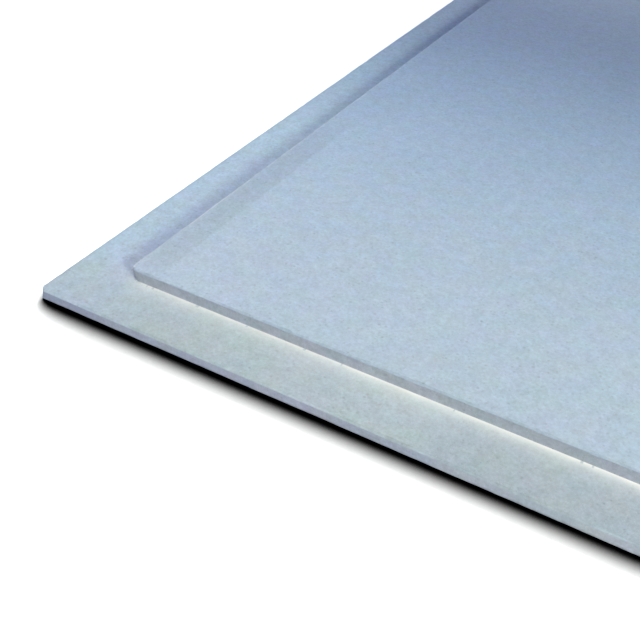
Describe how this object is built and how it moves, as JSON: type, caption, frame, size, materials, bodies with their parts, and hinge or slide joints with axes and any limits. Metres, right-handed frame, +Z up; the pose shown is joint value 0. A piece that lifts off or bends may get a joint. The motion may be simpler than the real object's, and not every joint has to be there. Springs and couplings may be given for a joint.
{
  "type": "stepped drywall sheet",
  "caption": "Flat gypsum fibre drywall sheet with stepped lap edges: one board glued on another and shifted, leaving a tongue on adjoining sides and an overhang opposite.",
  "frame": {"origin": "middle of the sheet's outline seen from above, on the underside that lies on the ground", "axes": "+Z up out of the upper board's face, +Y along the sheet and +X across it; the tongues stand out towards -Y and -X"},
  "size_m": [0.55, 1.55, 0.02],
  "materials": {
    "lower_board": "matt blue-grey gypsum fibre with fine dark specks, sawn edges a shade darker",
    "upper_board": "matt blue-grey gypsum fibre with fine dark specks, sawn edges a shade darker"
  },
  "bodies": {
    "root": {"lower_board": "lower_board", "upper_board": "upper_board"}
  },
  "joints": []
}
